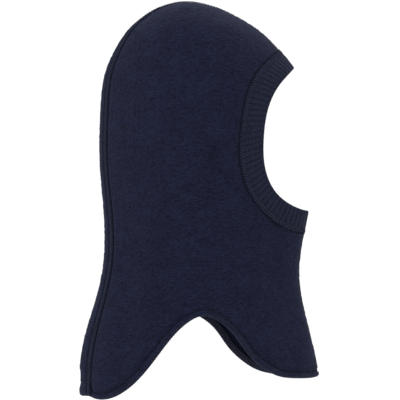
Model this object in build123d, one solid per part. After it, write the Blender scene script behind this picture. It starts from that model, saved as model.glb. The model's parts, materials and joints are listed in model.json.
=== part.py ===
from build123d import *
import os
from math import cos, hypot, pi, radians, sin

# Child's two-panel knitted balaclava, standing open as it would on a head.
# +X is where the face looks, +Z is up, and the origin is inside the crown, where a head's top touches.
# All sizes in millimetres.

# ---- driving dimensions ----
FABRIC = 2.0              # thickness of the brushed knit
THREAD = 0.6              # height that a line of stitches stands proud
BAND_BULGE = 0.6          # the folded rib band swells this much beyond the fabric, on each side
HEM_FOLD = 1.8            # thickness of the hem allowance turned up inside
HEM_DEPTH = 7.0           # height of that allowance
HEM_LINE = 5.5            # distance from the hem's edge to its needle line
HEM_OVERLOCK_START = 1.5  # the overlock loops cover the allowance from here up
NEEDLE_ROW = 0.8          # width of one needle line
SEAM_WIDTH = 6.0          # width of a flatlock seam, over its two needle lines

SEAM_TURN = 9.0           # degrees that the garment sits turned on the head, about +Z
CROWN_X = 3.0             # the seam plane passes the crown here
REAR_RIDGE = 0.44         # how far each level narrows to a ridge at the back: 0 is an ellipse
FRONT_RIDGE = 0.36        # the same at the front

BAND_JOIN_WIDTH = 3.0     # the thread that closes the band into a ring, under the chin

LABEL_WIDTH = 26.0
LABEL_LENGTH = 40.0
LABEL_THICKNESS = 0.8
LABEL_CORNER = 1.5
LABEL_LEVEL = 5           # index of the level that holds its sewn edge, at the nape
LABEL_ANGLE = 232.0       # degrees about that level's middle: 180 is the back, 270 the right side
LABEL_SPREAD = 8.0        # half angle that the label spans there
LABEL_STAND_OFF = 3.4     # from the fabric's inner face to the middle of the label
LABEL_GAP = 0.8           # clearance between the label and its stitching
LABEL_STITCH_HEIGHT = 2.4
LABEL_STITCH_DEPTH = 15.0 # past the fabric's inner face, where it is trimmed

ARCS = 8                  # arcs that each level is drawn with
ARC_STEPS = 3             # spans in one arc
REACH = 150.0             # longer than any half width or margin

# Levels of the outer surface: height, rear edge, front edge, half width.
# The front edge runs on across the face opening, as if the hood were closed there.
LEVELS = (
    (-372, -94.0, 124.0, 61.0),
    (-330, -96.0, 119.5, 58.5),   # hem of the bib and tail
    (-300, -91.5, 113.0, 55.0),
    (-270, -82.5, 105.8, 51.0),
    (-240, -75.5, 102.6, 48.5),   # neck
    (-210, -73.5, 106.5, 49.5),   # nape, chin
    (-180, -75.0, 111.5, 53.5),
    (-140, -78.0, 112.0, 58.0),
    (-100, -77.5, 109.0, 59.5),   # widest part of the head
    (-66, -74.0, 102.0, 57.5),
    (-42, -64.5, 85.0, 52.5),     # forehead
    (-24, -53.0, 66.5, 44.5),
    (-12, -40.0, 47.5, 34.0),
    (-4, -27.0, 31.0, 23.0),
    (0, -15.5, 17.5, 13.0),
    (FABRIC, -6.5, 8.5, 6.0),     # flat of the crown; its inner face is at the origin
)

# Outlines in the seam plane: distance forward of the crown, height. They run past the surface at both ends.
HEM_EDGE = (
    (-98.5, -331), (-96.3, -344.5), (-91.8, -353.2), (-84.5, -356), (-76.5, -355.2), (-65.5, -349.2),
    (-47.2, -330.4), (-28, -305.2), (-11, -286.8), (5, -279.8), (20.5, -285.8), (32, -295.6), (43.8, -311.6),
    (57, -325), (71, -333.2), (88, -336.3), (113, -336.5), (133, -334),
)
FACE_EDGE = (
    (108, -44), (93.6, -57.7), (77.1, -73.1), (65.5, -92), (59.3, -123.7), (60.3, -145), (69.4, -166.5),
    (86.7, -180.8), (104.2, -186.7), (124, -189.5),
)
BAND_SEAM = (
    (102, -33), (76.6, -46.6), (52.2, -69.6), (40.5, -105), (38.8, -140), (49.6, -172.1), (64.8, -188.9),
    (80.5, -199.2), (102.1, -205), (124, -208),
)

TURN = radians(SEAM_TURN)
FORWARD = Vector(cos(TURN), sin(TURN), 0)
NEAR = Vector(sin(TURN), -cos(TURN), 0)
SEAM_PLANE = Plane(origin=(CROWN_X, 0, 0), x_dir=FORWARD, z_dir=NEAR)


# ---- surfaces ----
def radius(level):
    """Mean radius of one level of the outer surface."""
    _, rear, front, half_width = level
    return ((front - rear) / 2 + half_width) / 2


def inset_level(index, depth):
    """One level moved inward along the surface's mean slope."""
    height, rear, front, half_width = LEVELS[index]
    if index == 0:
        return height, rear + depth, front - depth, half_width - depth
    above = LEVELS[min(index + 1, len(LEVELS) - 1)]
    below = LEVELS[index - 1]
    rise = above[0] - below[0]
    shrink = radius(below) - radius(above)
    slope = hypot(rise, shrink)
    inward = depth * rise / slope
    down = depth * shrink / slope
    return height - down, rear + inward, front - inward, half_width - inward


def around(rear, front, half_width, angle):
    """Place and direction on a level: an ellipse that narrows to a soft ridge at the back and the front."""
    half_length = (front - rear) / 2
    ridge = REAR_RIDGE if cos(angle) < 0 else FRONT_RIDGE
    narrowing = 1 - ridge * cos(angle) ** 2
    place = ((rear + front) / 2 + half_length * cos(angle), half_width * sin(angle) * narrowing)
    widening = cos(angle) * (narrowing + 2 * ridge * sin(angle) ** 2)
    return place, (-half_length * sin(angle), half_width * widening)


def arc(height, rear, front, half_width, number):
    """One of the equal arcs that make up a level."""
    places, directions = [], []
    turn = 2 * pi / ARCS
    for step in range(ARC_STEPS + 1):
        place, direction = around(rear, front, half_width, turn * (number + step / ARC_STEPS))
        places.append((*place, height))
        directions.append(Vector(*direction, 0) * turn)
    even = [step / ARC_STEPS for step in range(ARC_STEPS + 1)]
    return Edge.make_spline(places, tangents=(directions[0], directions[-1]), parameters=even, scale=False)


def ring(level):
    """A closed level."""
    return Wire([arc(*level, number) for number in range(ARCS)])


def hood(depth):
    """The space inside the surface that lies this far under the fabric's outer face."""
    return Solid.make_loft([ring(inset_level(index, depth)) for index in range(len(LEVELS))])


HOODS = {}
LAYERS = {}


def inside_of(depth):
    """The hood space at one depth, made once."""
    if depth not in HOODS:
        HOODS[depth] = hood(depth)
    return HOODS[depth]


def layer(outer, inner):
    """The material between two depths under the fabric's outer face, made once."""
    if (outer, inner) not in LAYERS:
        LAYERS[outer, inner] = inside_of(outer) - inside_of(inner)
    return LAYERS[outer, inner]


# ---- outlines ----
def parallel(outline, distance):
    """A spline beside an outline, moved to its left as it runs."""
    base = Spline(*outline)
    steps = 2 * len(outline)
    points = []
    for step in range(steps + 1):
        along = base % (step / steps)
        points.append(base @ (step / steps) + Vector(-along.Y, along.X) * distance)
    return Spline(*points)


def above(distance):
    """The area above the hem's edge, starting this far up from it."""
    edge = parallel(HEM_EDGE, distance)
    first, last = edge @ 0, edge @ 1
    sides = Polyline(last, (REACH, last.Y), (REACH, REACH), (-REACH, REACH), (-REACH, first.Y), first)
    return make_face(Wire([edge] + sides.edges()))


def behind(outline, distance):
    """The area behind a face outline, starting this far in front of it."""
    edge = parallel(outline, distance)
    first, last = edge @ 0, edge @ 1
    low = -3 * REACH
    sides = Polyline(last, (last.X, low), (-REACH, low), (-REACH, REACH), (first.X, REACH), first)
    return make_face(Wire([edge] + sides.edges()))


def prism(area):
    """An area of the seam plane carried through the whole garment, square to that plane."""
    return extrude(SEAM_PLANE * area, REACH, both=True)


def slab(start, end):
    """The space between two distances from the seam plane, towards the near side."""
    thickness = end - start
    plate = Box(4 * REACH, 6 * REACH, thickness)
    return SEAM_PLANE * Pos(0, 0, start + thickness / 2) * plate


def cut(outer, inner, space):
    """Solids of one layer inside a space, tallest first."""
    solids = (layer(outer, inner) & space).solids()
    return sorted(solids, key=lambda solid: -solid.bounding_box().size.Z)


PARTS = {}


# ---- fabric pieces ----
def make_panels():
    """Left and right side panels, each with its hem allowance turned up inside."""
    outline = above(0) & behind(BAND_SEAM, 0)
    allowance = outline - above(HEM_DEPTH)
    for name, half in (("right_panel", slab(0, REACH)), ("left_panel", slab(-REACH, 0))):
        cloth = cut(0, FABRIC, prism(outline) & half)[0]
        turned = cut(FABRIC, FABRIC + HEM_FOLD, prism(allowance) & half)[0]
        PARTS[name] = (cloth + turned).solid()


def make_face_band():
    """Folded rib band: pressed flat under its seam, fuller from there to its folded edge."""
    pressed = behind(BAND_SEAM, SEAM_WIDTH / 2) - behind(BAND_SEAM, 0)
    full = behind(FACE_EDGE, 0) - behind(BAND_SEAM, SEAM_WIDTH / 2)
    seam_part = cut(0, FABRIC, prism(pressed))[0]
    fold_part = cut(-BAND_BULGE, FABRIC + BAND_BULGE, prism(full))[0]
    PARTS["face_rib_band"] = (seam_part + fold_part).solid()
    inner_face = FABRIC + BAND_BULGE
    join = slab(-BAND_JOIN_WIDTH / 2, BAND_JOIN_WIDTH / 2)
    lines = cut(inner_face, inner_face + THREAD, prism(full) & join)
    PARTS["band_join_thread"] = min(lines, key=lambda line: line.center().Z)


# ---- flatlock seams ----
def make_panel_seams():
    """Crown and back seam, and front neck seam, where the two panels meet."""
    half = SEAM_WIDTH / 2
    whole = prism(above(0) & behind(BAND_SEAM, -half))
    inner = prism(above(HEM_DEPTH) & behind(BAND_SEAM, -half))
    pieces = {
        "needle_thread_near": cut(-THREAD, 0, whole & slab(half - NEEDLE_ROW, half)),
        "needle_thread_far": cut(-THREAD, 0, whole & slab(-half, NEEDLE_ROW - half)),
        "cover_thread": cut(-THREAD, 0, whole & slab(NEEDLE_ROW - half, half - NEEDLE_ROW)),
        "looper_thread": cut(FABRIC, FABRIC + THREAD, inner & slab(-half, half)),
    }
    for name, solids in pieces.items():
        PARTS[f"crown_seam_{name}"] = solids[0]
        PARTS[f"front_seam_{name}"] = solids[1]


def make_face_seam():
    """Seam that joins the rib band to both panels."""
    half = SEAM_WIDTH / 2

    def strip(start, end):
        return prism(behind(BAND_SEAM, end) - behind(BAND_SEAM, start))

    pieces = {
        "needle_thread_panel": cut(-THREAD, 0, strip(-half, NEEDLE_ROW - half)),
        "needle_thread_band": cut(-THREAD, 0, strip(half - NEEDLE_ROW, half)),
        "cover_thread": cut(-THREAD, 0, strip(NEEDLE_ROW - half, half - NEEDLE_ROW)),
        "looper_thread": cut(FABRIC, FABRIC + THREAD, strip(-half, half)),
    }
    for name, solids in pieces.items():
        PARTS[f"face_seam_{name}"] = solids[0]


# ---- hem ----
def make_hem_threads():
    """Needle line outside and overlock loops inside, along each panel's hem."""
    half = SEAM_WIDTH / 2
    clear = behind(BAND_SEAM, -half)
    line = prism((above(HEM_LINE - NEEDLE_ROW / 2) - above(HEM_LINE + NEEDLE_ROW / 2)) & clear)
    loops = prism((above(HEM_OVERLOCK_START) - above(HEM_DEPTH)) & clear)
    inner_face = FABRIC + HEM_FOLD
    for side, sign in (("right", 1), ("left", -1)):
        to_seam = slab(*sorted((0, sign * REACH)))
        beside_seam = slab(*sorted((sign * half, sign * REACH)))
        PARTS[f"{side}_hem_needle_thread"] = cut(-THREAD, 0, line & beside_seam)[0]
        PARTS[f"{side}_hem_overlock_thread"] = cut(inner_face, inner_face + THREAD, loops & to_seam)[0]


# ---- label ----
def nape_point(turn):
    """A point of the fabric's inner face at the label's sewn edge, this many degrees along from its middle."""
    height, *extents = inset_level(LABEL_LEVEL, FABRIC)
    place, _ = around(*extents, radians(LABEL_ANGLE + turn))
    return Vector(*place, height)


def make_label():
    """Size and care label, hanging from a bar of stitches inside the right panel, near the back."""
    across = (nape_point(LABEL_SPREAD) - nape_point(-LABEL_SPREAD)).normalized()
    inward = Vector(0, 0, 1).cross(across)
    hinge = nape_point(0) + inward * LABEL_STAND_OFF
    hanging = Plane(origin=hinge, x_dir=across, z_dir=inward)  # its y axis runs down
    tape = RectangleRounded(LABEL_WIDTH, LABEL_LENGTH, LABEL_CORNER)
    placed = hanging * Pos(0, LABEL_GAP + LABEL_LENGTH / 2, 0) * tape
    PARTS["care_label"] = extrude(placed, LABEL_THICKNESS / 2, both=True).solid()
    bar = Box(LABEL_WIDTH, LABEL_STITCH_HEIGHT, LABEL_STITCH_DEPTH)
    seat = Pos(0, -LABEL_STITCH_HEIGHT / 2, (LABEL_THICKNESS - LABEL_STITCH_DEPTH) / 2)
    PARTS["label_stitch_thread"] = (inside_of(FABRIC) & (hanging * seat * bar)).solid()


# ---- build and write ----
make_panels()
make_face_band()
make_panel_seams()
make_face_seam()
make_hem_threads()
make_label()

os.makedirs("parts", exist_ok=True)
for part_name, part in PARTS.items():
    part.label = part_name
    export_step(part, f"parts/{part_name}.step")
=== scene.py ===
import json
import math

import bpy
import numpy as np
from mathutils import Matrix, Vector
from mathutils.kdtree import KDTree


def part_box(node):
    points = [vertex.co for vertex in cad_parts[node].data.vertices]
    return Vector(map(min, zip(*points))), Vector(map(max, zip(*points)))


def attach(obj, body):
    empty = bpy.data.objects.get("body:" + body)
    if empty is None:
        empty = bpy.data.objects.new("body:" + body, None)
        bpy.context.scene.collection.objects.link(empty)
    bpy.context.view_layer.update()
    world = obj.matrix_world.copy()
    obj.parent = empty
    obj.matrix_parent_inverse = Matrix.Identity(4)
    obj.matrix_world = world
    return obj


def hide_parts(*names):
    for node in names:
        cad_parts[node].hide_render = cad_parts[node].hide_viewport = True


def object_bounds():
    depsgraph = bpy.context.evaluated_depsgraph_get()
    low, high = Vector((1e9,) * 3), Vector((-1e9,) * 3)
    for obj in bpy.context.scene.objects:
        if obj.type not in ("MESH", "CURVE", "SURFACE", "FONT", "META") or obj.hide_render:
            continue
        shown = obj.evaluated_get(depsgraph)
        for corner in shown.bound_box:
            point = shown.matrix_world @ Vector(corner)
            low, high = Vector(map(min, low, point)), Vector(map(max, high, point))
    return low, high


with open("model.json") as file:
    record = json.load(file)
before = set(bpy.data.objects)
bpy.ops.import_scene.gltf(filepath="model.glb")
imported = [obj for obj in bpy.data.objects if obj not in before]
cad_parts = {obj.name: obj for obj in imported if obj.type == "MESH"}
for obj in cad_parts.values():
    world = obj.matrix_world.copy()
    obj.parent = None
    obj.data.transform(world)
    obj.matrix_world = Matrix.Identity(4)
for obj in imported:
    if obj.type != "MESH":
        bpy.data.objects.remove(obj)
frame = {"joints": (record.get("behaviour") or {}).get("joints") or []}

# Visual model of the child's knitted balaclava. Geometry is worked out in millimetres in the CAD frame.
MM = 0.001
CAD_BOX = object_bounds()

# ---- driving dimensions, as in the CAD source ----
FABRIC = 2.0
BAND_BULGE = 0.6
HEM_FOLD = 1.8
HEM_DEPTH = 7.0
HEM_LINE = 5.5
SEAM_TURN = math.radians(9.0)
CROWN_X = 3.0
REAR_RIDGE = 0.44
FRONT_RIDGE = 0.36
LEVELS = (
    (-372, -94.0, 124.0, 61.0),
    (-330, -96.0, 119.5, 58.5),
    (-300, -91.5, 113.0, 55.0),
    (-270, -82.5, 105.8, 51.0),
    (-240, -75.5, 102.6, 48.5),
    (-210, -73.5, 106.5, 49.5),
    (-180, -75.0, 111.5, 53.5),
    (-140, -78.0, 112.0, 58.0),
    (-100, -77.5, 109.0, 59.5),
    (-66, -74.0, 102.0, 57.5),
    (-42, -64.5, 85.0, 52.5),
    (-24, -53.0, 66.5, 44.5),
    (-12, -40.0, 47.5, 34.0),
    (-4, -27.0, 31.0, 23.0),
    (0, -15.5, 17.5, 13.0),
    (1.8, -6.5, 8.5, 6.0),
    (2.1, 0.9, 1.1, 0.1),
)
HEM_EDGE = (
    (-98.5, -331), (-96.3, -344.5), (-91.8, -353.2), (-84.5, -356), (-76.5, -355.2), (-65.5, -349.2),
    (-47.2, -330.4), (-28, -305.2), (-11, -286.8), (5, -279.8), (20.5, -285.8), (32, -295.6), (43.8, -311.6),
    (57, -325), (71, -333.2), (88, -336.3), (113, -336.5), (133, -334),
)
FACE_EDGE = (
    (108, -44), (93.6, -57.7), (77.1, -73.1), (65.5, -92), (59.3, -123.7), (60.3, -145), (69.4, -166.5),
    (86.7, -180.8), (104.2, -186.7), (124, -189.5),
)
BAND_SEAM = (
    (102, -33), (76.6, -46.6), (52.2, -69.6), (40.5, -105), (38.8, -140), (49.6, -172.1), (64.8, -188.9),
    (80.5, -199.2), (102.1, -205), (124, -208),
)

# ---- stitches and cloth ----
NEEDLE_OFFSET = 2.9       # from a seam's middle to each of its needle lines
COVER_REACH = 2.4         # and to the ends of its cover threads
STITCH = 2.5              # length of one stitch
THREAD_RADIUS = 0.25
RIB_PITCH = 5.0
RIB_HEIGHT = 0.5
RIB_STEPS = 10            # columns of mesh in one rib
BAND_GAP = 0.16           # space between the band's two layers
FUZZ = 0.16               # unevenness of the brushed face
OVERLOCK_START = 4.0      # the overlock loops reach this far round the hem's edge to the outside
NEEDLE_RADIUS = 0.24
NEEDLE_TOP = 0.25         # how far a seam's needle thread stands proud, and how deep it then dives
NEEDLE_DIVE = 1.3
HEM_NEEDLE_TOP = -0.75    # the same for the hem's needle thread, down in its groove
HEM_NEEDLE_DIVE = 0.4

# Relief of the panels: depth and width of each furrow. A negative depth is a swelling.
SEAM_FURROW = (0.9, 0.7)
SEAM_HOLLOW = (0.25, 7.0)
HEM_GROOVE = (1.15, 1.5)
HEM_SWELLING = (-0.4, 1.8)
HEM_SWELLING_AT = 2.4     # distance from the hem's edge
INNER_DIP = 0.4           # share of a seam's furrow that the inner face follows
SMOOTH_HEM = 2.0          # the brushed face gets smooth this near to the hem's edge
SMOOTH_SEAM = 4.0         # and to a seam
FUZZ_SEED = 7

# Folds of the draped cloth.
FOLD_HEIGHT = 0.55        # upright folds, from the neck down
FOLD_TOP = -205.0
FOLD_BLEND = 22.0
WAVE_HEIGHT = 0.9         # broad unevenness everywhere
SEAM_CALM = 30.0          # both fade out this near to the middle

FORWARD = np.array((math.cos(SEAM_TURN), math.sin(SEAM_TURN), 0.0))
NEAR = np.array((math.sin(SEAM_TURN), -math.cos(SEAM_TURN), 0.0))
UP = np.array((0.0, 0.0, 1.0))
CORE_S = 8.0              # rays start from this line inside the hood
PIVOT_Z = -66.0           # above this level they fan out over the crown
RAY = 260.0
GRADIENT_STEP = 0.3
DOME_Z = -4.0             # above this level the surface is taken as a dome over that level
DOME_RISE = 0.16          # how fast the dome's value climbs above its top, for each millimetre


# ---- camera, first ----
CAMERA_LENS = 300
FRAME_WIDTH = 0.3615      # metres seen across the picture, at the hood
CAMERA_RIGHT = 0.0005
CAMERA_DOWN = 0.0002


def make_camera():
    """Level side view, far enough away to flatten the perspective."""
    data = bpy.data.cameras.new("camera")
    data.lens = CAMERA_LENS
    camera = bpy.data.objects.new("camera", data)
    bpy.context.scene.collection.objects.link(camera)
    distance = data.lens * FRAME_WIDTH / data.sensor_width
    low, high = (Vector(corner) for corner in CAD_BOX)
    centre = (low + high) / 2
    camera.location = (centre.x + CAMERA_RIGHT, -distance, centre.z - CAMERA_DOWN)
    camera.rotation_euler = (math.pi / 2, 0, 0)
    data.clip_end = 20
    bpy.context.scene.camera = camera


make_camera()


# ---- curves and the hood's surface ----
def lengths(points):
    """Distance along a polyline at each of its points."""
    steps = np.linalg.norm(np.diff(points, axis=0), axis=1)
    return np.concatenate(((0.0,), np.cumsum(steps)))


def spline(points, count):
    """Evenly spaced samples of the natural cubic spline through some points."""
    points = np.asarray(points, float)
    knots = lengths(points)
    gaps = np.diff(knots)
    last = len(points) - 1
    system = np.eye(last + 1)
    right = np.zeros_like(points)
    for i in range(1, last):
        system[i, i - 1:i + 2] = gaps[i - 1], 2 * (gaps[i - 1] + gaps[i]), gaps[i]
        right[i] = 6 * ((points[i + 1] - points[i]) / gaps[i] - (points[i] - points[i - 1]) / gaps[i - 1])
    bend = np.linalg.solve(system, right)
    at = np.linspace(0, knots[-1], count)
    span = np.clip(np.searchsorted(knots, at, side="right") - 1, 0, last - 1)
    gap = gaps[span][:, None]
    after = (at - knots[span])[:, None]
    before = gap - after
    return (
        (bend[span] * before ** 3 + bend[span + 1] * after ** 3) / (6 * gap)
        + (points[span] / gap - bend[span] * gap / 6) * before
        + (points[span + 1] / gap - bend[span + 1] * gap / 6) * after
    )


def pick(points, at, along=None):
    """Points of a polyline at some distances along it."""
    along = lengths(points) if along is None else along
    return np.stack([np.interp(at, along, points[:, axis]) for axis in range(points.shape[1])], axis=1)


def even(points, count):
    """A polyline with evenly spaced points."""
    along = lengths(points)
    return pick(points, np.linspace(0, along[-1], count), along)


PROFILE = spline(LEVELS, 6000)
PROFILE = PROFILE[np.argsort(PROFILE[:, 0], kind="stable")]
DOME_LENGTH = np.interp(DOME_Z, PROFILE[:, 0], PROFILE[:, 2] - PROFILE[:, 1])


def shape_value(points):
    """Below 1 inside the hood's outer surface, 1 on it."""
    rear, front, half = (np.interp(points[:, 2], PROFILE[:, 0], PROFILE[:, i]) for i in (1, 2, 3))
    along = (2 * points[:, 0] - rear - front) / (front - rear)
    ridge = np.where(along < 0, REAR_RIDGE, FRONT_RIDGE)
    across = points[:, 1] / (half * (1 - ridge * np.minimum(along ** 2, 1)))
    flat = np.hypot(along, across)
    size = ((front - rear) / DOME_LENGTH) ** 2
    above = np.maximum(points[:, 2] - PROFILE[-1, 0], 0)
    dome = np.sqrt(size * flat ** 2 + np.maximum(1 - size, 0) + DOME_RISE * above)
    return np.where(points[:, 2] < DOME_Z, flat, dome)


def normals(points):
    """Outward unit normals of the surface."""
    gradient = np.empty_like(points)
    for axis in range(3):
        step = np.zeros(3)
        step[axis] = GRADIENT_STEP
        gradient[:, axis] = shape_value(points + step) - shape_value(points - step)
    return gradient / np.linalg.norm(gradient, axis=1)[:, None]


def project(points, rounds=4):
    """Move points to the surface along its normals."""
    for _ in range(rounds):
        ahead = normals(points)
        value = shape_value(points)
        slope = (shape_value(points + ahead * GRADIENT_STEP) - value) / GRADIENT_STEP
        points = points + ahead * ((1 - value) / slope)[:, None]
    return points


def cast(starts, directions):
    """Where rays from inside the hood leave it."""
    near = np.zeros(len(starts))
    far = np.full(len(starts), RAY)
    for _ in range(36):
        middle = (near + far) / 2
        within = shape_value(starts + directions * middle[:, None]) < 1
        near = np.where(within, middle, near)
        far = np.where(within, far, middle)
    return starts + directions * near[:, None]


def in_plane(s, z):
    """Points of the seam plane, by distance forward of the crown and height."""
    s, z = np.broadcast_arrays(np.asarray(s, float), np.asarray(z, float))
    base = np.array((CROWN_X, 0.0, 0.0))
    return base + s[..., None] * FORWARD + z[..., None] * UP


def push_out(points):
    """Carry points to the surface along rays from the hood's core."""
    core = in_plane(CORE_S, np.minimum(points[:, 2], PIVOT_Z))
    rays = points - core
    return cast(core, rays / np.linalg.norm(rays, axis=1)[:, None])


def drape(points):
    """How far the cloth stands in or out, in soft folds: fuller at the neck than on the head."""
    x, y, z = points[:, 0], points[:, 1], points[:, 2]
    low = 1 / (1 + np.exp((z - FOLD_TOP) / FOLD_BLEND))
    side = np.clip(np.abs(y) / SEAM_CALM, 0, 1)
    folds = np.sin(x / 7.4 + np.sin(z / 41.0) * 1.3 + np.sign(y) * 0.8)
    folds += 0.6 * np.sin(x / 4.9 - z / 37.0 + 1.9)
    broad = np.sin(x / 31.0 + z / 47.0) * np.sin(z / 29.0 - y / 40.0 + 0.7)
    return side * (FOLD_HEIGHT * low * folds + WAVE_HEIGHT * broad)


def place(points, height):
    """Points of the draped cloth, this far above its outer face."""
    points = np.asarray(points, float)
    return points + normals(points) * (np.asarray(height) + drape(points)).reshape(-1, 1)


# ---- seam and edge lines on the surface ----
def beside(outline, distance):
    """A dense outline of the seam plane, moved to its left as it runs."""
    dense = spline(outline, 3000)
    along = np.gradient(dense, axis=0)
    along /= np.linalg.norm(along, axis=1)[:, None]
    return dense + np.stack((-along[:, 1], along[:, 0]), axis=1) * distance


def on_side(outline, distance, side, count):
    """An outline carried square to the seam plane to one side of the hood: side is 1 for near, -1 for far."""
    dense = beside(outline, distance)
    value = shape_value(in_plane(dense[:, 0], dense[:, 1]))
    within = np.nonzero(value < 1)[0]
    first, last = within[0], within[-1]
    start = first - (1 - value[first]) / (value[first - 1] - value[first])
    end = last + (1 - value[last]) / (value[last + 1] - value[last])
    at = start + (end - start) * (1 - np.cos(np.linspace(0, math.pi, 4 * count))) / 2
    index = np.arange(len(dense))
    flat = np.stack([np.interp(at, index, dense[:, axis]) for axis in (0, 1)], axis=1)
    starts = in_plane(flat[:, 0], flat[:, 1])
    line = cast(starts, np.broadcast_to(NEAR * side, starts.shape))
    line[0], line[-1] = starts[0], starts[-1]
    return even(line, count)


def crown_line(start_z, end_point, count):
    """The seam line from a height on the back, over the crown, to a point at the front."""
    heights = np.linspace(start_z, PIVOT_Z, 400)
    back = cast(in_plane(CORE_S, heights), np.broadcast_to(-FORWARD, (len(heights), 3)))
    pivot = in_plane(CORE_S, PIVOT_Z)
    reach = end_point - pivot
    end_angle = math.atan2(reach @ UP, reach @ FORWARD)
    angles = np.linspace(math.pi, end_angle, 400)[1:]
    rays = np.cos(angles)[:, None] * FORWARD + np.sin(angles)[:, None] * UP
    over = cast(np.broadcast_to(pivot, rays.shape), rays)
    return even(np.vstack((back, over)), count)


def front_line(low_z, high_z, count):
    """The seam line up the front of the neck."""
    heights = np.linspace(low_z, high_z, count)
    return cast(in_plane(CORE_S, heights), np.broadcast_to(FORWARD, (count, 3)))


def nearest(points, *lines):
    """Distance from each point to the nearest of some lines."""
    dense = np.vstack([even(line, max(2, int(lengths(line)[-1] / 0.4))) for line in lines])
    tree = KDTree(len(dense))
    for i, point in enumerate(dense):
        tree.insert(point, i)
    tree.balance()
    return np.array([tree.find(point)[2] for point in points])


def furrow(distance, middle, depth, width):
    """Depth of a soft furrow that runs at one distance from a line."""
    return depth * np.exp(-(((distance - middle) / width) ** 2))


# ---- making objects ----
def add_object(name, data, body, slot, material, *nodes):
    """Link a piece, hang it on its body, and let it stand for its CAD nodes."""
    piece = bpy.data.objects.new(name, data)
    bpy.context.scene.collection.objects.link(piece)
    data.materials.append(material)
    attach(piece, body)
    if nodes:
        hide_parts(*nodes)
    return piece


def mesh_from(name, points, faces, texture=None, wrap=None):
    """A smooth mesh from millimetre points, with an optional texture map in millimetres per vertex.
    wrap is the texture's width where quads join its end to its start."""
    mesh = bpy.data.meshes.new(name)
    mesh.from_pydata((np.asarray(points) * MM).tolist(), [], faces)
    mesh.update()
    mesh.polygons.foreach_set("use_smooth", [True] * len(mesh.polygons))
    if texture is not None:
        layer = mesh.uv_layers.new(name="cloth")
        corners = np.empty(len(mesh.loops), dtype=int)
        mesh.loops.foreach_get("vertex_index", corners)
        placed = np.asarray(texture)[corners]
        if wrap:
            across = placed[:, 0].reshape(-1, 4)
            split = np.ptp(across, axis=1) > wrap / 2
            across[split] = np.where(across[split] < wrap / 2, across[split] + wrap, across[split])
            placed[:, 0] = across.ravel()
        layer.data.foreach_set("uv", placed.ravel())
    return mesh


def quads(rows, columns, offset=0, flip=False, closed=False):
    """Faces of a grid of vertices, row by row."""
    faces = []
    spans = columns if closed else columns - 1
    for row in range(rows - 1):
        for column in range(spans):
            beyond = (column + 1) % columns
            face = (row * columns + column, row * columns + beyond,
                    (row + 1) * columns + beyond, (row + 1) * columns + column)
            face = tuple(offset + i for i in face)
            faces.append(face[::-1] if flip else face)
    return faces


def thread_object(name, strands, radius, body, slot, material, *nodes):
    """Round threads along lines of millimetre points."""
    curve = bpy.data.curves.new(name, "CURVE")
    curve.dimensions = "3D"
    curve.bevel_depth = radius * MM
    curve.bevel_resolution = 1
    curve.use_fill_caps = True
    for strand in strands:
        line = curve.splines.new("POLY")
        line.points.add(len(strand) - 1)
        padded = np.hstack((strand * MM, np.ones((len(strand), 1))))
        line.points.foreach_set("co", padded.ravel())
    return add_object(name, curve, body, slot, material, *nodes)


# ---- materials ----
TONE_START = 0.37         # part of a noise's range that its colours are spread over
TONE_END = 0.63
CLOTH_ROUGHNESS = 0.95
THREAD_ROUGHNESS = 0.85
SHEEN = 0.07


def new_material(name):
    material = bpy.data.materials.new(name)
    material.use_nodes = True
    tree = material.node_tree
    return material, tree, tree.nodes["Principled BSDF"]


def add_node(tree, kind, **inputs):
    """A node with some of its inputs set."""
    node = tree.nodes.new(kind)
    for key, value in inputs.items():
        node.inputs[key.replace("_", " ")].default_value = value
    return node


def noise(tree, source, scale, stretch, detail=3.0, roughness=0.6):
    """Noise on stretched coordinates; a larger stretch makes finer grain along that axis."""
    mapping = add_node(tree, "ShaderNodeMapping", Scale=stretch)
    texture = add_node(tree, "ShaderNodeTexNoise", Scale=scale, Detail=detail, Roughness=roughness)
    tree.links.new(source, mapping.inputs["Vector"])
    tree.links.new(mapping.outputs["Vector"], texture.inputs["Vector"])
    return texture.outputs["Fac"]


def mix_colours(tree, factor, dark, light):
    """Colour between two, by a factor that is stretched to use the whole range."""
    ramp = tree.nodes.new("ShaderNodeValToRGB")
    ramp.color_ramp.elements[0].position = TONE_START
    ramp.color_ramp.elements[0].color = (*dark, 1)
    ramp.color_ramp.elements[1].position = TONE_END
    ramp.color_ramp.elements[1].color = (*light, 1)
    tree.links.new(factor, ramp.inputs["Fac"])
    return ramp.outputs["Color"]


def add_heights(tree, *scaled):
    """Sum of height fields, each with its own weight."""
    total = None
    for field, weight in scaled:
        part = tree.nodes.new("ShaderNodeMath")
        part.operation = "MULTIPLY"
        part.inputs[1].default_value = weight
        tree.links.new(field, part.inputs[0])
        if total is None:
            total = part.outputs[0]
            continue
        both = tree.nodes.new("ShaderNodeMath")
        both.operation = "ADD"
        tree.links.new(total, both.inputs[0])
        tree.links.new(part.outputs[0], both.inputs[1])
        total = both.outputs[0]
    return total


def bump(tree, shader, height, distance):
    node = add_node(tree, "ShaderNodeBump", Strength=1.0, Distance=distance)
    tree.links.new(height, node.inputs["Height"])
    tree.links.new(node.outputs["Normal"], shader.inputs["Normal"])


def cloth_finish(shader, roughness):
    """Dull surface with a faint bluish sheen of fibres."""
    shader.inputs["Roughness"].default_value = roughness
    shader.inputs["Specular IOR Level"].default_value = 0.12
    shader.inputs["Sheen Weight"].default_value = SHEEN
    shader.inputs["Sheen Roughness"].default_value = 0.45
    shader.inputs["Sheen Tint"].default_value = (*FUZZ_TINT, 1)


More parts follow.
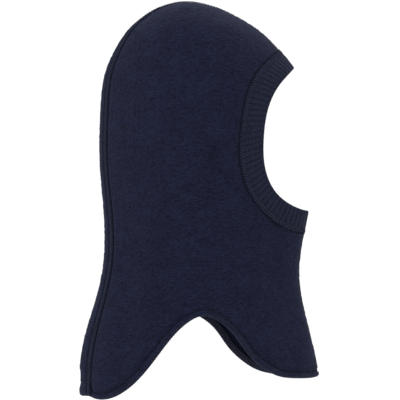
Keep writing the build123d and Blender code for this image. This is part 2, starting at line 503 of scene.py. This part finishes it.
NAVY_DARK = (0.0017, 0.0024, 0.0085)
NAVY_LIGHT = (0.0116, 0.0144, 0.0380)
RIB_DARK = (0.0030, 0.0038, 0.0098)
RIB_LIGHT = (0.0125, 0.0148, 0.0325)
SEAM_DARK = (0.0120, 0.0142, 0.0290)
SEAM_LIGHT = (0.0330, 0.0375, 0.0670)
# Needle thread: partly its own colour and partly painted shade. It is made much darker than the cloth to
# stand in for the shade down in the needle grooves.
NEEDLE_DARK = (0.0012, 0.0015, 0.0035)
NEEDLE_LIGHT = (0.0045, 0.0052, 0.0090)
OVERLOCK_DARK = (0.0240, 0.0260, 0.0390)
OVERLOCK_LIGHT = (0.0620, 0.0660, 0.0860)
TAPE_DARK = (0.55, 0.55, 0.53)
TAPE_LIGHT = (0.72, 0.72, 0.70)
FUZZ_TINT = (0.55, 0.62, 1.0)


def knit_material():
    """Brushed jersey: short fibres lying in flat streaks over a fine knit."""
    material, tree, shader = new_material("brushed_knit")
    place_node = tree.nodes.new("ShaderNodeTexCoord")
    place_out = place_node.outputs["Object"]
    streaks = noise(tree, place_out, 230.0, (1.0, 1.0, 3.4))
    specks = noise(tree, place_out, 620.0, (1.0, 1.0, 1.6), detail=2.0)
    clouds = noise(tree, place_out, 60.0, (1.0, 1.0, 1.6), detail=3.0)
    wales = tree.nodes.new("ShaderNodeTexWave")
    wales.bands_direction = "X"
    wales.inputs["Scale"].default_value = 0.34
    wales.inputs["Distortion"].default_value = 1.6
    wales.inputs["Detail"].default_value = 2.0
    tree.links.new(tree.nodes.new("ShaderNodeUVMap").outputs["UV"], wales.inputs["Vector"])
    tone = add_heights(tree, (streaks, 0.42), (specks, 0.46), (clouds, 0.12))
    colour = mix_colours(tree, tone, NAVY_DARK, NAVY_LIGHT)
    tree.links.new(colour, shader.inputs["Base Color"])
    height = add_heights(tree, (streaks, 0.6), (specks, 0.5), (wales.outputs["Fac"], 0.12))
    bump(tree, shader, height, 0.0009)
    cloth_finish(shader, CLOTH_ROUGHNESS)
    return material


def rib_material():
    """Rib knit: columns of small stitches along each rib, with painted shade that makes the colour darker
    down in the grooves.
    """
    material, tree, shader = new_material("rib_knit")
    uv = tree.nodes.new("ShaderNodeUVMap").outputs["UV"]
    place_out = tree.nodes.new("ShaderNodeTexCoord").outputs["Object"]
    courses = tree.nodes.new("ShaderNodeTexWave")
    courses.bands_direction = "Y"
    courses.inputs["Scale"].default_value = 0.22
    courses.inputs["Distortion"].default_value = 1.2
    tree.links.new(uv, courses.inputs["Vector"])
    ribs = tree.nodes.new("ShaderNodeTexWave")
    ribs.bands_direction = "X"
    ribs.inputs["Scale"].default_value = math.pi / 10 / RIB_PITCH
    tree.links.new(uv, ribs.inputs["Vector"])
    # Painted shade: the sharpened rib wave lightens the colour on each crest, so the grooves between ribs
    # look shaded.
    painted_groove_shade = tree.nodes.new("ShaderNodeMath")
    painted_groove_shade.operation = "POWER"
    painted_groove_shade.inputs[1].default_value = 0.4
    tree.links.new(ribs.outputs["Fac"], painted_groove_shade.inputs[0])
    fibres = noise(tree, place_out, 620.0, (1.0, 1.0, 1.0))
    tone = add_heights(tree, (fibres, 0.7), (courses.outputs["Fac"], 0.12), (painted_groove_shade.outputs[0], 0.18))
    tree.links.new(mix_colours(tree, tone, RIB_DARK, RIB_LIGHT), shader.inputs["Base Color"])
    bump(tree, shader, add_heights(tree, (courses.outputs["Fac"], 0.35), (fibres, 0.5)), 0.0006)
    cloth_finish(shader, CLOTH_ROUGHNESS)
    return material


def thread_material(name, dark, light):
    """Matte textured thread."""
    material, tree, shader = new_material(name)
    place_out = tree.nodes.new("ShaderNodeTexCoord").outputs["Object"]
    fibres = noise(tree, place_out, 1500.0, (1.0, 1.0, 1.0))
    tree.links.new(mix_colours(tree, fibres, dark, light), shader.inputs["Base Color"])
    bump(tree, shader, fibres, 0.0003)
    cloth_finish(shader, THREAD_ROUGHNESS)
    return material


def tape_material():
    """Blank woven satin tape."""
    material, tree, shader = new_material("label_tape")
    place_out = tree.nodes.new("ShaderNodeTexCoord").outputs["Object"]
    weave = noise(tree, place_out, 1400.0, (1.0, 1.0, 4.0))
    tree.links.new(mix_colours(tree, weave, TAPE_DARK, TAPE_LIGHT), shader.inputs["Base Color"])
    bump(tree, shader, weave, 0.0002)
    shader.inputs["Roughness"].default_value = 0.45
    return material


KNIT = knit_material()
RIB = rib_material()
SEAM_THREAD = thread_material("seam_thread", SEAM_DARK, SEAM_LIGHT)
# The needle threads' colour carries painted shade of the grooves they sink into.
SHADED_NEEDLE_THREAD = thread_material("dark_thread", NEEDLE_DARK, NEEDLE_LIGHT)
OVERLOCK_THREAD = thread_material("overlock_thread", OVERLOCK_DARK, OVERLOCK_LIGHT)
TAPE = tape_material()

# ---- the seam lines ----
# Distances of the first grid rows from the hem's edge, and of the first rows and columns from a seam.
HEM_STEPS = (0, 0.15, 0.5, 1.0, 1.9, 3.0, 4.0, 4.6, 5.0, 5.3, 5.6, 5.9, 6.3, 6.9, 7.1, 7.8, 8.6)
EDGE_STEPS = (0, 0.7, 1.4, 2.0, 2.4, 2.8, 3.2, 3.8, 4.8, 6.2)
HEM_SIDE_STEPS = (0, 1.2)
HEM_COLUMNS = 170
SIDE_ROWS = 190           # rows of the first grid, above the hem
GRID_ROWS = 170           # even rows and columns of the final grid
GRID_COLUMNS = 130
BACK_SHARE = 0.62         # share of the crown seam that a panel's back edge takes
SEAM_LINE_POINTS = 1200
NECK_LINE_POINTS = 200
SIDES = {"right": 1, "left": -1}

hem_lines = {name: on_side(HEM_EDGE, 0, side, 500) for name, side in SIDES.items()}
band_lines = {name: on_side(BAND_SEAM, 0, side, 500) for name, side in SIDES.items()}
face_lines = {name: on_side(FACE_EDGE, 0, side, 500) for name, side in SIDES.items()}
forehead = band_lines["right"][0]
chin = band_lines["right"][-1]
tail = hem_lines["right"][0]
bib = hem_lines["right"][-1]
crown_seam = crown_line(tail[2], forehead, 900)
front_seam = front_line(bib[2], chin[2], 300)
band_loop = np.vstack((band_lines["right"], band_lines["left"][::-1][1:]))
face_loop = np.vstack((face_lines["right"], face_lines["left"][::-1][1:]))


# ---- side panels ----
def coons(bottom, top, left, right):
    """Grid of points between four edge lines, row by row from the bottom."""
    u = np.linspace(0, 1, len(bottom))[None, :, None]
    v = np.linspace(0, 1, len(left))[:, None, None]
    ruled = (1 - v) * bottom[None] + v * top[None] + (1 - u) * left[:, None] + u * right[:, None]
    corners = (1 - v) * ((1 - u) * bottom[0] + u * bottom[-1]) + v * ((1 - u) * top[0] + u * top[-1])
    return ruled - corners


def respaced(grid, first, last, count):
    """A grid whose rows keep their ends but get fixed steps near them and even ones between."""
    rows = []
    for row in grid:
        along = lengths(row)
        middle = np.linspace(first[-1], along[-1] - last[-1], count + 1)[1:-1]
        at = np.concatenate((first, middle, along[-1] - np.asarray(last)[::-1]))
        rows.append(pick(row, at, along))
    return np.array(rows)


def panel_grid(side):
    """Outer face of one side panel, from the hem up to the crown seam, and from back to front."""
    hem_rows = np.array([on_side(HEM_EDGE, step, side, 4 * HEM_COLUMNS) for step in HEM_STEPS])
    bottom = hem_rows[-1]
    name = "right" if side > 0 else "left"
    whole = crown_line(bottom[0][2], forehead, SEAM_LINE_POINTS)
    split = int(len(whole) * BACK_SHARE)
    neck = front_line(bottom[-1][2], chin[2], NECK_LINE_POINTS)
    left = even(whole[:split + 1], SIDE_ROWS)
    right = even(np.vstack((neck, band_lines[name][::-1][1:])), SIDE_ROWS)
    top = even(whole[split:], HEM_COLUMNS)
    grid = coons(even(bottom, HEM_COLUMNS), top, left, right)
    pushed = push_out(grid.reshape(-1, 3)).reshape(grid.shape)
    for edge, line in ((np.s_[:, 0], left), (np.s_[:, -1], right), (np.s_[-1], top)):
        pushed[edge] = line
    upper = respaced(pushed.transpose(1, 0, 2), HEM_SIDE_STEPS, EDGE_STEPS, GRID_ROWS).transpose(1, 0, 2)
    upper = respaced(upper, EDGE_STEPS, EDGE_STEPS, GRID_COLUMNS)
    columns = upper.shape[1]
    share = lengths(upper[0]) / lengths(upper[0])[-1]
    lower = np.array([pick(row, share * lengths(row)[-1]) for row in hem_rows[:-1]])
    grid = np.vstack((lower, upper))
    return project(grid.reshape(-1, 3), 2).reshape(grid.shape), columns


def panel_relief(hem, seam):
    """How deep a panel's outer and inner faces lie, at some distances from its hem and its nearest seam."""
    half = (FABRIC + HEM_FOLD) / 2
    round_off = half - np.sqrt(np.maximum(half ** 2 - np.maximum(half - hem, 0) ** 2, 0))
    dip = furrow(seam, NEEDLE_OFFSET, *SEAM_FURROW) + furrow(seam, 0, *SEAM_HOLLOW)
    groove = furrow(hem, HEM_LINE, *HEM_GROOVE) + furrow(hem, HEM_SWELLING_AT, *HEM_SWELLING)
    fuzz = np.random.default_rng(FUZZ_SEED).normal(0, FUZZ, len(hem))
    fuzz *= np.clip(hem / SMOOTH_HEM, 0, 1) * np.clip(seam / SMOOTH_SEAM, 0, 1)
    outer = round_off + dip + groove - np.clip(fuzz, -2 * FUZZ, 2 * FUZZ)
    fold = np.where(hem <= HEM_DEPTH, FABRIC + HEM_FOLD - round_off, FABRIC)
    return outer, fold + dip * INNER_DIP


def panel_faces(rows, columns, side):
    """Faces of a closed panel: its outer grid, its inner grid, and strips that join them at three edges.
    The grids share their first row, the hem's edge."""
    count = rows * columns
    front = np.arange(count).reshape(rows, columns)
    back = front + count - columns
    back[0] = front[0]
    faces = quads(rows, columns, flip=side < 0)
    inner = []
    for row in range(rows - 1):
        for column in range(columns - 1):
            beyond = column + 1
            face = (back[row, column], back[row + 1, column], back[row + 1, beyond], back[row, beyond])
            inner.append(face if side > 0 else face[::-1])
    edges = (
        (front[:, 0], back[:, 0], side < 0),
        (front[:, -1], back[:, -1], side > 0),
        (front[-1], back[-1], side > 0),
    )
    for front_row, back_row, forward in edges:
        for i in range(len(front_row) - 1):
            face = tuple(dict.fromkeys((front_row[i], front_row[i + 1], back_row[i + 1], back_row[i])))
            inner.append(face if forward else face[::-1])
    return faces + [tuple(int(i) for i in face) for face in inner]


def make_panel(name):
    """One closed side panel, with its hem folded up inside, furrows along its seams and soft folds.
    Returns it with the area of one of its faces."""
    side = SIDES[name]
    grid, columns = panel_grid(side)
    flat = grid.reshape(-1, 3)
    steps = np.full(len(grid), np.inf)
    steps[:len(HEM_STEPS)] = HEM_STEPS
    seam = nearest(flat, crown_seam, front_seam, band_lines[name])
    outer_depth, inner_depth = panel_relief(np.repeat(steps, columns), seam)
    points = np.vstack((place(flat, -outer_depth), place(flat, -inner_depth)[columns:]))
    across = np.array([lengths(row) for row in grid]).ravel()
    texture = np.stack((across, flat[:, 2]), axis=1)
    texture = np.vstack((texture, texture[columns:]))
    mesh = mesh_from(f"{name}_panel_cloth", points, panel_faces(len(grid), columns, side), texture)
    piece = add_object(f"{name}_panel_cloth", mesh, "hood", "brushed_knit", KNIT, f"{name}_panel")
    area = sum(polygon.area for polygon in mesh.polygons) / 2
    return piece, area


panels = {name: make_panel(name) for name in SIDES}


# ---- rib band ----
LOOP_POINTS = 2000
FOLD_STEPS = np.linspace(0, 1, 9)[1:]
# Rows from the seam to the folded edge, closer together near both, and rows between the layers.
BAND_SHARES = np.concatenate((
    np.linspace(0, 0.2, 6),
    np.linspace(0.2, 0.85, 12)[1:],
    1 - 0.15 * (1 - FOLD_STEPS) ** 2,
))
GAP_SHARES = np.linspace(0, 0.9, 10)
PRESSED_WIDTH = 4.5       # the seam presses the band flat this far into it
RIB_START = 2.2           # the ribs begin this far from the seam
RIB_RAMP = 3.0
RIB_FAINT = 0.15          # share of their height that they keep under the seam


def band_section(share, width, rib):
    """Half thickness of the folded band at a share of the way from its seam to its folded edge."""
    half_thick = FABRIC / 2 + BAND_BULGE
    from_edge = (1 - share) * width
    from_seam = share * width
    roll = np.clip(from_edge / half_thick, 0, 1)
    body = half_thick * np.sqrt(np.maximum(1 - (1 - roll) ** 2, 0))
    pressed = furrow(from_seam, 0, BAND_BULGE, PRESSED_WIDTH)
    ribbed = RIB_HEIGHT * rib * np.clip((from_seam - RIB_START) / RIB_RAMP, RIB_FAINT, 1)
    return np.maximum(body - pressed - ribbed * np.clip(roll * 2, 0, 1), 0)


def band_rows(outer_line, inner_line, width, rib):
    """Rows of the band: down its outside, round the fold, up its inside, and between its two layers.
    Returns them with the way from the seam to each, as a share of the band's width."""
    middle_depth = -FABRIC / 2

    def row_at(share):
        return project(outer_line + (inner_line - outer_line) * share)

    outside, inside = [], []
    for share in BAND_SHARES:
        row = row_at(share)
        thick = band_section(share, width, rib)
        outside.append(place(row, middle_depth + thick))
        inside.append(place(row, middle_depth - thick))
    inwards = row_at(1.0) - row_at(0.97)
    inwards /= np.linalg.norm(inwards, axis=1)[:, None]
    outside[-1] = outside[-1] - inwards * RIB_HEIGHT * rib[:, None]
    lower = [place(row_at(share), middle_depth - BAND_GAP / 2) for share in GAP_SHARES]
    upper = [place(row_at(share), middle_depth + BAND_GAP / 2) for share in GAP_SHARES[::-1]]
    ways = np.concatenate((BAND_SHARES, 2 - BAND_SHARES[-2::-1], GAP_SHARES, GAP_SHARES[::-1]))
    return outside + inside[-2::-1] + lower + upper, ways


def make_band():
    """Rib knit folded double, its two layers just apart. Ribs cross it and run round its folded edge.
    Returns it with the length of its middle line."""
    middle = (even(band_loop, LOOP_POINTS) + even(face_loop, LOOP_POINTS)) / 2
    length = lengths(middle)[-1]
    ribs = round(length / RIB_PITCH)
    columns = ribs * RIB_STEPS
    outer_line = even(band_loop, columns + 1)[:-1]
    inner_line = even(face_loop, columns + 1)[:-1]
    width = np.linalg.norm(outer_line - inner_line, axis=1)
    rib = 1 - np.abs(np.sin(math.pi * np.arange(columns) / RIB_STEPS))
    rows, ways = band_rows(outer_line, inner_line, width, rib)
    faces = quads(len(rows), columns, closed=True)
    last = (len(rows) - 1) * columns
    for column in range(columns):
        beyond = (column + 1) % columns
        faces.append((last + column, last + beyond, beyond, column))
    along = np.arange(columns) * RIB_PITCH / RIB_STEPS
    texture = [np.stack((along, width * way), axis=1) for way in ways]
    mesh = mesh_from("rib_band_cloth", np.vstack(rows), faces, np.vstack(texture), wrap=ribs * RIB_PITCH)
    return add_object("rib_band_cloth", mesh, "hood", "rib_knit", RIB, "face_rib_band"), length


band, band_length = make_band()


# ---- stitches ----
STRAND_STEPS = 8          # points in one stitch
STRAND_END = 0.4          # threads stop this far short of their line's ends
ZIGZAG_SHARP = 0.985      # 1 is a triangle wave with sharp corners
ZIGZAG_PEAK = 0.89        # what that wave reaches, so that it is scaled back to 1
COVER_HEIGHT = 0.15       # cover threads, at their ends and how much more in the middle
COVER_ARCH = 0.22
LOOPER_DEPTH = 0.32       # past the fabric's inner face
LOOPER_PHASES = (0, 0.33, 0.66)
HEM_POINTS = 600
OVERLOCK_LINE = 0.8       # the loops are laid out from a line this far up from the hem's edge
OVERLOCK_PAST = 1.0       # and end this far past the raw edge inside
CHAIN_DEPTH = 0.45
CHAIN_SWAY = 0.3


def strand(line, across, height, phase=0.0):
    """A thread beside a line: across and height are numbers, or functions of the number of stitches run."""
    along = lengths(line)
    at = np.arange(STRAND_END, along[-1] - STRAND_END, STITCH / STRAND_STEPS)
    run = at / STITCH + phase
    base = pick(line, at, along)
    tangent = np.gradient(base, axis=0)
    tangent /= np.linalg.norm(tangent, axis=1)[:, None]
    beyond = np.cross(normals(base), tangent)
    offset = across(run) if callable(across) else np.full(len(run), across)
    lift = height(run) if callable(height) else np.full(len(run), height)
    return place(project(base + beyond * offset[:, None], 2), lift)


def zigzag(run):
    """Soft triangle wave between -1 and 1, one period a stitch."""
    return 2 / math.pi * np.arcsin(ZIGZAG_SHARP * np.sin(2 * math.pi * run)) / ZIGZAG_PEAK


def stitch_lift(top, dive):
    """Height of a needle thread that dives into the cloth once a stitch."""
    return lambda run: top - dive * np.abs(np.cos(math.pi * run)) ** 3


def make_needle_thread(name, line, offset, lift, slot, node):
    """One needle thread, beside a line."""
    row = strand(line, offset, lift)
    thread_object(name, [row], NEEDLE_RADIUS, "hood", slot, SHADED_NEEDLE_THREAD, node)


def make_flatlock(name, line, needle_names):
    """Needle threads and a cover thread outside one seam, and looper threads inside."""
    for side, node in zip((-1, 1), needle_names):
        needle_name = f"{name}_needle_{node.split('_')[-1]}"
        lift = stitch_lift(NEEDLE_TOP, NEEDLE_DIVE)
        make_needle_thread(needle_name, line, side * NEEDLE_OFFSET, lift, "seam_thread", node)

    def cover_lift(run):
        return COVER_HEIGHT + COVER_ARCH * (1 - zigzag(run) ** 2)

    covers = [strand(line, lambda run: COVER_REACH * zigzag(run), cover_lift)]
    depth = -(FABRIC + LOOPER_DEPTH)
    loops = [strand(line, lambda run: NEEDLE_OFFSET * zigzag(run), depth, phase) for phase in LOOPER_PHASES]
    for part, strands in (("cover", covers), ("looper", loops)):
        node = f"{name}_{part}_thread"
        thread_object(f"{name}_{part}", strands, THREAD_RADIUS, "hood", "seam_thread", SEAM_THREAD, node)


make_flatlock("crown_seam", crown_seam, ("crown_seam_needle_thread_far", "crown_seam_needle_thread_near"))
make_flatlock("front_seam", front_seam, ("front_seam_needle_thread_far", "front_seam_needle_thread_near"))
make_flatlock("face_seam", band_loop, ("face_seam_needle_thread_panel", "face_seam_needle_thread_band"))


def hem_round(way):
    """Distance from the hem's edge and height, for threads that lie round it: way is 0 at the edge itself."""
    half = (FABRIC + HEM_FOLD) / 2
    turn = np.clip(way / half, -math.pi / 2, math.pi / 2)
    out = half + THREAD_RADIUS
    straight = np.abs(way - turn * half)
    return half - out * np.cos(turn) + straight, -half - out * np.sin(turn)


def make_hem_stitches(name):
    """Needle line in the hem's groove, and overlock loops round its edge and over the raw edge inside."""
    side = SIDES[name]
    line = on_side(HEM_EDGE, HEM_LINE, side, HEM_POINTS)
    lift = stitch_lift(HEM_NEEDLE_TOP, HEM_NEEDLE_DIVE)
    make_needle_thread(f"{name}_hem_needle", line, 0.0, lift, "overlock_thread", f"{name}_hem_needle_thread")
    outside, inside = -OVERLOCK_START, HEM_DEPTH + OVERLOCK_PAST
    edge = on_side(HEM_EDGE, OVERLOCK_LINE, side, HEM_POINTS)

    def way(run):
        return (outside + inside) / 2 + (inside - outside) / 2 * zigzag(run)

    def loop_across(run):
        return side * (hem_round(way(run))[0] - OVERLOCK_LINE)

    def loop_lift(run):
        return hem_round(way(run))[1]

    loops = strand(edge, loop_across, loop_lift)
    chain_lift = -(FABRIC + HEM_FOLD + CHAIN_DEPTH)
    chain = strand(line, lambda run: CHAIN_SWAY * np.sin(2 * math.pi * run), chain_lift)
    thread_object(f"{name}_hem_overlock", [loops, chain], THREAD_RADIUS, "hood", "overlock_thread",
                  OVERLOCK_THREAD, f"{name}_hem_overlock_thread")


for hem_name in SIDES:
    make_hem_stitches(hem_name)


JOIN_POINTS = 60          # points across the band, of which the join leaves out some at both ends
JOIN_FIRST = 14
JOIN_LAST = -7
JOIN_REACH = 1.2
JOIN_DEPTH = 0.3          # past the band's inner face


def make_band_join():
    """Short zigzag that closes the band into a ring, inside it under the chin."""
    start = band_lines["right"][-1]
    end = face_lines["right"][-1]
    line = project(np.linspace(start, end, JOIN_POINTS))[JOIN_FIRST:JOIN_LAST]
    depth = -(FABRIC + BAND_BULGE + JOIN_DEPTH)
    loops = [strand(line, lambda run: JOIN_REACH * zigzag(run), depth, phase) for phase in (0, 0.5)]
    thread_object("band_join", loops, THREAD_RADIUS, "hood", "seam_thread", SEAM_THREAD, "band_join_thread")


make_band_join()


# ---- care label ----
LABEL_SHARE = 0.985       # the tape is this share of its CAD box
LABEL_ROWS = 40
LABEL_COLUMNS = 27
LABEL_CURL = 0.0008       # metres that its free end curls inward, and waves across
LABEL_WAVE = 0.00045
LABEL_HALF = 0.000192     # half its thickness, tapering to the fold at its free end
BAR_TURNS = 26            # stitches in the bar that holds it
BAR_POINTS = 8            # points in one of them
BAR_HALF = 0.0128         # half the bar's length
BAR_RADIUS = 0.22


def label_axes():
    """The hinge's place, and the label's directions: across, inward and down."""
    hinge = frame["joints"][0]
    across = Vector(hinge["axis"]).normalized()
    down = Vector((0, 0, -1))
    return Vector(hinge["pos_m"]), across, across.cross(down), down


def make_label():
    """Folded woven tape with a soft curl, heat-cut edges and nothing printed on it."""
    place_at, across, inward, down = label_axes()
    low, high = (Vector(corner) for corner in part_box("care_label"))
    length = high.z - low.z
    width = math.hypot(high.x - low.x, high.y - low.y) * LABEL_SHARE
    top = place_at.z - high.z
    rows, columns = LABEL_ROWS, LABEL_COLUMNS
    points = []
    for layer in (1, -1):
        for row in range(rows):
            v = row / (rows - 1)
            for column in range(columns):
                u = column / (columns - 1) - 0.5
                curl = LABEL_CURL * v * v + LABEL_WAVE * math.sin(3.1 * u + 1.0) * v
                half = LABEL_HALF * (0.35 + 0.9 * math.sqrt(max(0.0, 1 - v ** 6)))
                spot = place_at + across * (u * width) + down * (top + v * length * LABEL_SHARE)
                points.append(spot + inward * (curl + layer * half))
    faces = quads(rows, columns) + quads(rows, columns, offset=rows * columns, flip=True)
    count = rows * columns
    rim = list(range(columns)) + [r * columns + columns - 1 for r in range(1, rows)]
    rim += [(rows - 1) * columns + c for c in range(columns - 2, -1, -1)]
    rim += [r * columns for r in range(rows - 2, 0, -1)]
    for i, corner in enumerate(rim):
        beyond = rim[(i + 1) % len(rim)]
        faces.append((beyond, corner, corner + count, beyond + count))
    mesh = mesh_from("care_label_tape", [p / MM for p in points], faces)
    piece = add_object("care_label_tape", mesh, "care_label", "label_tape", TAPE, "care_label")


def make_label_stitches():
    """Bar of stitches that holds the label's top edge to the panel."""
    place_at, across, inward, down = label_axes()
    low, high = (Vector(corner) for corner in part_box("label_stitch_thread"))
    count = BAR_TURNS * BAR_POINTS
    points = []
    for step in range(count):
        share = step / (count - 1)
        turn = 2 * math.pi * BAR_TURNS * share
        rise = (high.z - low.z) * (0.5 + 0.42 * math.sin(turn))
        depth = -0.0013 + 0.0014 * math.cos(turn)
        points.append(place_at + across * (BAR_HALF * (2 * share - 1)) - down * rise + inward * depth)
    strand_points = np.array([tuple(point) for point in points]) / MM
    thread_object("label_stitches", [strand_points], BAR_RADIUS, "hood", "label_thread", SEAM_THREAD,
                  "label_stitch_thread")


make_label()
make_label_stitches()


# ---- studio ----
FLOOR_DROP = 0.08         # the floor lies this far under the hood, so that its shadow is faint
FLOOR_HALF = 12.0
FLOOR_TONE = 0.99
SURROUND = 1.04           # brightness of the white surround
LIGHT_SIZE = 0.9
LIGHTS = {"key": ((-0.75, -0.95, 0.85), 7), "top": ((0.2, 0.45, 1.1), 6)}  # place and watts


def add_light(name, place_at, aim, power):
    data = bpy.data.lights.new(name, "AREA")
    data.size = LIGHT_SIZE
    data.energy = power
    light = bpy.data.objects.new(name, data)
    light.location = place_at
    light.rotation_euler = (Vector(aim) - Vector(place_at)).to_track_quat("-Z", "Y").to_euler()
    bpy.context.scene.collection.objects.link(light)


def make_studio():
    """White floor and surround, with soft light from all round and a little more from above."""
    low, high = (Vector(corner) for corner in CAD_BOX)
    centre = (low + high) / 2
    world = bpy.data.worlds.new("world")
    world.use_nodes = True
    world.node_tree.nodes["Background"].inputs["Color"].default_value = (1, 1, 1, 1)
    world.node_tree.nodes["Background"].inputs["Strength"].default_value = SURROUND
    bpy.context.scene.world = world
    bpy.context.scene.view_settings.view_transform = "Standard"
    mesh = bpy.data.meshes.new("floor")
    corners = [(x * FLOOR_HALF, y * FLOOR_HALF) for x, y in ((-1, -1), (1, -1), (1, 1), (-1, 1))]
    mesh.from_pydata([(x, y, low.z - FLOOR_DROP) for x, y in corners], [], [(0, 1, 2, 3)])
    material, _, shader = new_material("floor")
    shader.inputs["Base Color"].default_value = (FLOOR_TONE, FLOOR_TONE, FLOOR_TONE, 1)
    shader.inputs["Roughness"].default_value = 0.9
    mesh.materials.append(material)
    floor = bpy.data.objects.new("floor", mesh)
    bpy.context.scene.collection.objects.link(floor)
    for name, (place_at, power) in LIGHTS.items():
        add_light(name, place_at, centre, power)


make_studio()
